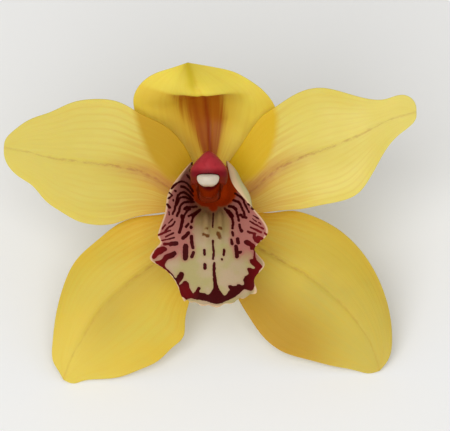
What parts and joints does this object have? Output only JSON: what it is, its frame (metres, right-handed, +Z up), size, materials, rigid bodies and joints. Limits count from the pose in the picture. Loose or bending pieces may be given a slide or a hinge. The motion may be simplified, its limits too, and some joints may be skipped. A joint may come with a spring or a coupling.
{
  "type": "cymbidium orchid bloom",
  "caption": "Open yellow cymbidium orchid bloom: hooded dorsal sepal, spreading petals and sepals, spotted lip, arched column with its cap, on a short cut stalk.",
  "frame": {"origin": "centre of the bloom's box on the surface it lies on", "axes": "+X to the right as one looks into the flower, +Y away from that viewer, +Z up"},
  "size_m": [0.1104, 0.0558, 0.0709],
  "materials": {
    "sepal": "satin",
    "petal": "satin",
    "lip": "satin",
    "column": "satin",
    "anther_cap": "satin",
    "stalk": "satin"
  },
  "bodies": {
    "root": {"dorsal_sepal": "sepal", "lateral_sepal_left": "sepal", "lateral_sepal_right": "sepal", "petal_left": "petal", "petal_right": "petal", "lip": "lip", "column": "column", "anther_cap": "anther_cap", "pedicel": "stalk"}
  },
  "joints": []
}
